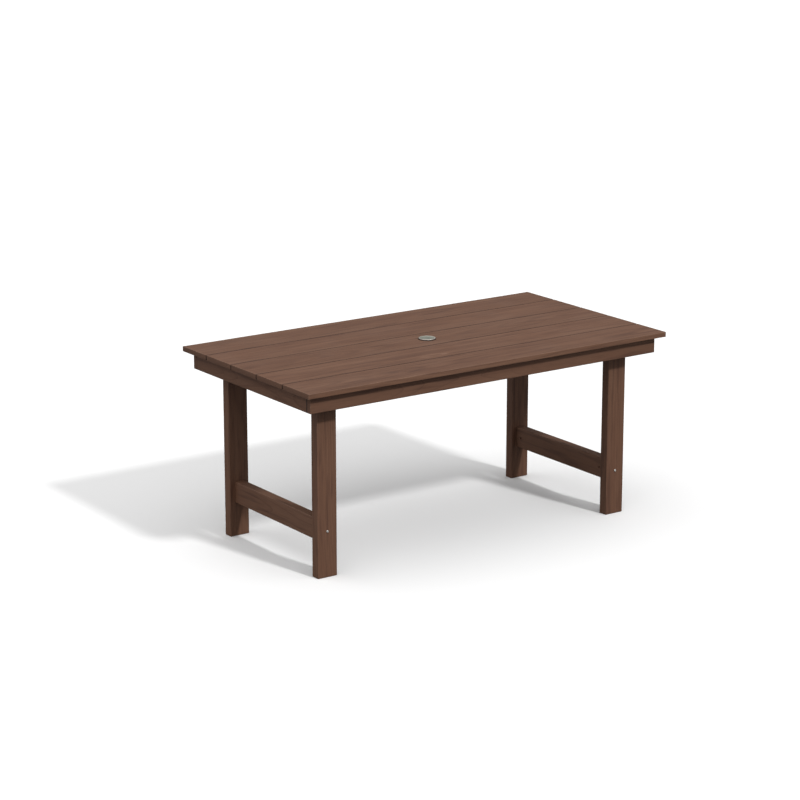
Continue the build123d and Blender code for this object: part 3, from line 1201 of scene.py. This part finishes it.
@dataclass(frozen=True)
class Hardware:
    """Steel fasteners: the seen button-head bolts built again, the hidden ones dressed."""

    finish: SteelFinish
    head_radius: float = 5.25
    head_height: float = 3.3
    shank_radius: float = 3.0
    shank_length: float = 82.0
    socket_flats: float = 4.0
    socket_depth: float = 2.1
    sides: int = 72
    dressed: Names = (
        "leg_bolts", "leg_washers", "leg_nuts", "cross_dowels", "board_screws")

    def bolt(self) -> Surface:
        """One bolt, head up, its seat at height 0: a domed head with a hexagon socket, lathed.

        Returns:
            The bolt's surface, in metres.
        """
        r, h, s = self.head_radius, self.head_height, self.socket_flats / 2
        floor = h - self.socket_depth
        shank, tip = self.shank_radius, -self.shank_length
        corners = ((0.3, floor - 0.5, 0), (s, floor, 0), (s, h - 0.25, 0), (s + 0.55, h, 0.2),
                   (3.4, h - 0.12, 0.5), (4.55, h - 1.1, 0.8), (r, 0.7, 0.6), (r, 0.0, 0.12),
                   (shank, 0.0, 0.1), (shank, 0.8 + tip, 0.3), (shank - 0.8, tip, 0.2),
                   (0.6, tip, 0))
        socket_rows = np.array([1, 2])
        return lathed(softened(corners, loop=False), self.sides, False, socket_rows,
                      self.socket_flats * MM)

    def build(self) -> None:
        """Builds the four stretcher bolts as one piece and dresses the rest."""
        material = self.finish.material()
        low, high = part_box("stretcher_bolts")
        x, z = abs(np.mean(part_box("leg_front_left"), axis=0)[0]), (low[2] + high[2]) / 2
        seat = high[1] - self.head_height * MM
        one, bolts = self.bolt(), []
        for side_x, side_y in ((-1, -1), (-1, 1), (1, -1), (1, 1)):
            rows = np.array([[1, 0, 0], [0, 0, side_y], [0, -side_y, 0]], float)
            points = one.points @ rows.T + (side_x * x, side_y * seat, z)
            bolts.append(Surface(points, one.faces))
        merged(bolts).piece("stretcher_bolt_set", material, "stainless", TABLE, "stretcher_bolts")
        for node in self.dressed:
            dress(node, material)


@dataclass(frozen=True)
class UmbrellaFitting:
    """The ring in the middle board and the cap that lifts out of it.

    Heights are in millimetres from the floor, radii from the table's middle.
    """

    ring_finish: RingFinish
    cap_finish: CapFinish
    flange_top: float = 742.0
    flange_radius: float = 34.0
    flange_under: float = 740.0
    sleeve_radius: float = 28.5
    sleeve_bottom: float = 710.0
    pole_radius: float = 25.0
    seat_radius: float = 26.5
    seat_height: float = 730.0
    cap_top: float = 745.2
    cap_radius: float = 33.0
    skirt_radius: float = 26.2
    skirt_inner: float = 23.8
    skirt_bottom: float = 732.0
    sides: int = 144

    def ring(self) -> Surface:
        """The flanged sleeve: one closed profile, from the flange's bore out, down and back up.

        Returns:
            The ring's surface, in metres.
        """
        top, under, low, seat = (
            self.flange_top, self.flange_under, self.sleeve_bottom, self.seat_height)
        bore, flange, sleeve, pole = (
            self.seat_radius, self.flange_radius, self.sleeve_radius, self.pole_radius)
        corners = ((bore, top, 0.4), (flange, top, 0.9), (flange, under, 0.25),
                   (sleeve, under, 0.3), (sleeve, low, 0.8), (pole, low, 0.8), (pole, seat, 0.4),
                   (bore, seat, 0.3))
        return lathed(softened(corners, loop=True), self.sides, True)

    def cap(self) -> Surface:
        """The cap: a shallow dish inside a raised rim, an undercut edge, and a skirt below.

        Returns:
            The cap's surface, in metres.
        """
        top, r, base, low = self.cap_top, self.cap_radius, self.flange_top, self.skirt_bottom
        outer, inner = self.skirt_radius, self.skirt_inner
        corners = ((1.5, top - 0.75, 0), (24.0, top - 0.8, 3.0), (27.2, top - 0.7, 0.5),
                   (28.4, top, 0.6), (r, top, 0.9), (r, top - 1.5, 0.4),
                   (r - 1.5, top - 2.1, 0.5), (r - 1.5, base, 0.2), (outer, base, 0.3),
                   (outer, low, 0.5), (inner, low, 0.5), (inner, base, 0.6), (1.5, base, 0))
        return lathed(softened(corners, loop=False), self.sides, False)

    def build(self) -> None:
        """Builds the ring and the cap in place of their CAD nodes."""
        self.ring().piece("umbrella_ring_moulding", self.ring_finish.material(), "ring_plastic",
                          TABLE, "umbrella_ring")
        self.cap().piece("umbrella_cap_turned", self.cap_finish.material(), "cap_metal", CAP,
                         "umbrella_cap")


@dataclass(frozen=True)
class Studio:
    """Pale floor, soft light and the camera.

    Attributes:
        camera_at: where the camera stands.
        looks_at: the point in the middle of its view.
        lens: focal length, in millimetres.
        sensor: the sensor's width, in millimetres.
        clip_end: how far the camera sees.
        key_towards: direction from the table to the key light.
        key_strength: the key's irradiance.
        key_angle: how wide the key is, in degrees, which softens its shadows.
        zenith: the dome's radiance overhead.
        left_fill: the dome's radiance on the left.
        front_fill: the dome's radiance in front.
        floor_seen: the floor's paleness.
        floor_bounce: how much light the floor gives back.
        floor_size: the length of its sides.
    """

    camera_at: Triple = (-5.545, -7.723, 3.040)
    looks_at: Triple = (0.188, 0.44912, 0.370)
    lens: float = 114.61
    sensor: float = 36.0
    clip_end: float = 200.0
    key_towards: Triple = (0.18, -1.0, 0.82)
    key_strength: float = 1.76
    key_angle: float = 5.0
    zenith: float = 1.25
    left_fill: float = 0.84
    front_fill: float = 0.40
    floor_seen: float = 0.92
    floor_bounce: float = 0.14
    floor_size: float = 60.0

    def floor(self) -> None:
        """A wide level sheet that shows pale, gives back little light, and is clear from below."""
        half = self.floor_size / 2
        mesh = bpy.data.meshes.new("floor")
        corners = [(-half, -half, 0), (half, -half, 0), (half, half, 0), (-half, half, 0)]
        mesh.from_pydata(corners, [], [(0, 1, 2, 3)])
        made = bpy.data.materials.new("studio_floor")
        g = emptied(made)
        seen, bounce = g.node("BsdfDiffuse"), g.node("BsdfDiffuse")
        seen.inputs[0].default_value = (self.floor_seen,) * 3 + (1,)
        bounce.inputs[0].default_value = (self.floor_bounce,) * 3 + (1,)
        camera_ray = g.node("LightPath").outputs["Is Camera Ray"]
        direct = g.mix(camera_ray, bounce.outputs[0], seen.outputs[0])
        single = g.mix(g.node("NewGeometry").outputs["Backfacing"], direct,
                       g.node("BsdfTransparent").outputs[0])
        g.put(g.node("OutputMaterial").inputs[0], single)
        mesh.materials.append(made)
        placed("floor", mesh)

    def dome(self) -> None:
        """Soft light from all round, behind a backdrop that the camera sees as plain white.

        Radiance is the zenith's times the height squared, plus the left's times how far left the
        direction points, plus the front's times how far it points to the front.
        """
        world = bpy.data.worlds.new("studio_dome")
        g = emptied(world)
        x, y, z = g.split(g.node("TexCoord").outputs["Generated"])
        height, left, front = g.positive(z), g.positive(x, -1.0), g.positive(y, -1.0)
        light, backdrop = g.node("Background"), g.node("Background")
        g.put(light.inputs["Strength"], g.sum(
            0.0, (self.zenith, g.times(height, height)), (self.left_fill, left),
            (self.front_fill, front)))
        for shader in (light, backdrop):
            shader.inputs["Color"].default_value = (1, 1, 1, 1)
        seen = g.node("LightPath").outputs["Is Camera Ray"]
        mixed = g.mix(seen, light.outputs[0], backdrop.outputs[0])
        g.put(g.node("OutputWorld").inputs[0], mixed)
        bpy.context.scene.world = world

    def key(self) -> None:
        """One broad key light from the front, a little to the right."""
        light = bpy.data.lights.new("key", "SUN")
        light.energy, light.angle = self.key_strength, math.radians(self.key_angle)
        turned = Vector(self.key_towards).to_track_quat("Z", "Y")
        placed("key", light).rotation_euler = turned.to_euler()

    def camera(self) -> None:
        """The scene's camera, with no depth of field."""
        lens = bpy.data.cameras.new("camera")
        lens.lens, lens.sensor_width, lens.clip_end = self.lens, self.sensor, self.clip_end
        made = placed("camera", lens)
        made.location = self.camera_at
        sight = Vector(self.looks_at) - Vector(self.camera_at)
        made.rotation_euler = sight.to_track_quat("-Z", "Y").to_euler()
        bpy.context.scene.camera = made

    def build(self) -> None:
        """Sets up the floor, the lights and the camera."""
        bpy.context.scene.view_settings.view_transform = "Standard"
        for make in (self.floor, self.dome, self.key, self.camera):
            make()


def main() -> None:
    """Builds every sub-assembly in order."""
    logging.basicConfig(level=logging.INFO, format="%(name)s %(message)s")
    Effects.build()
    lumber = LumberFinish()
    parts = (Studio(), TableTop(lumber), Frame(lumber), LegSet(lumber), Hardware(SteelFinish()),
             UmbrellaFitting(RingFinish(), CapFinish()))
    for part in parts:
        part.build()
        log.info("%s finished", type(part).__name__)


if __name__ == "__main__":
    main()
